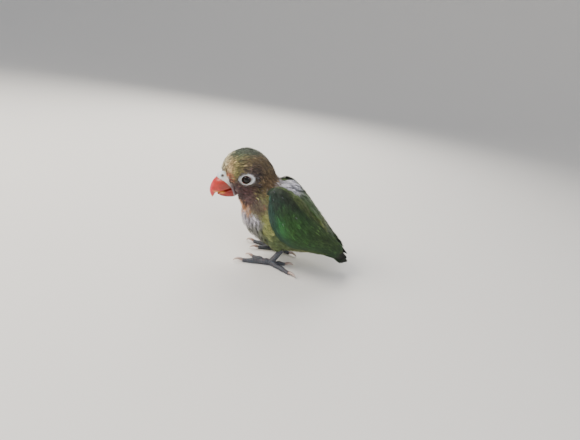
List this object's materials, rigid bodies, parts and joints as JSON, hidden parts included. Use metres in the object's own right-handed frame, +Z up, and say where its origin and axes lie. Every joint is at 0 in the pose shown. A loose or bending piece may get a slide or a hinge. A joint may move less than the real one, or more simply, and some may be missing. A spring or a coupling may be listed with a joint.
{
  "type": "lovebird chick",
  "caption": "Life-size still model of a young eye-ringed lovebird standing on its feet: big round head, hooked bill, folded wings, short tail.",
  "frame": {"origin": "on the floor, under the middle of the bird's box", "axes": "+Z up, +Y towards the tail, so the bill points to -Y, and +X towards the bird's left side"},
  "size_m": [0.039, 0.0738, 0.0527],
  "materials": {
    "head_plumage": "soft feathers, olive brown with a green crown and a pale orange forehead",
    "neck_plumage": "soft feathers, brown with orange and white tips",
    "body_plumage": "soft feathers, yellow green with pale down",
    "wing_plumage": "closed feathers with a faint silky sheen, dark green",
    "tail_plumage": "short stiff feathers, dark green with blackish tips",
    "thigh_plumage": "soft loose feathers, green",
    "cere_skin": "bare soft skin, bluish white",
    "eye_ring_skin": "bare soft skin, white with a greyish lid edge",
    "bill_horn": "polished horn, orange red",
    "eye": "wet, nearly black brown",
    "foot_skin": "dry scaly skin, slate grey",
    "claw_horn": "horn, pale pinkish brown"
  },
  "bodies": {
    "root": {"head": "head_plumage", "cere": "cere_skin", "bill_upper": "bill_horn", "bill_lower": "bill_horn", "eye_left": "eye", "eye_right": "eye", "eye_ring_left": "eye_ring_skin", "eye_ring_right": "eye_ring_skin", "neck": "neck_plumage", "torso": "body_plumage", "wing_left": "wing_plumage", "wing_right": "wing_plumage", "tail": "tail_plumage", "thigh_left": "thigh_plumage", "thigh_right": "thigh_plumage", "foot_left": "foot_skin", "foot_right": "foot_skin", "claw_left_inner_front": "claw_horn", "claw_left_outer_front": "claw_horn", "claw_left_outer_back": "claw_horn", "claw_left_inner_back": "claw_horn", "claw_right_inner_front": "claw_horn", "claw_right_outer_front": "claw_horn", "claw_right_outer_back": "claw_horn", "claw_right_inner_back": "claw_horn"}
  },
  "joints": []
}
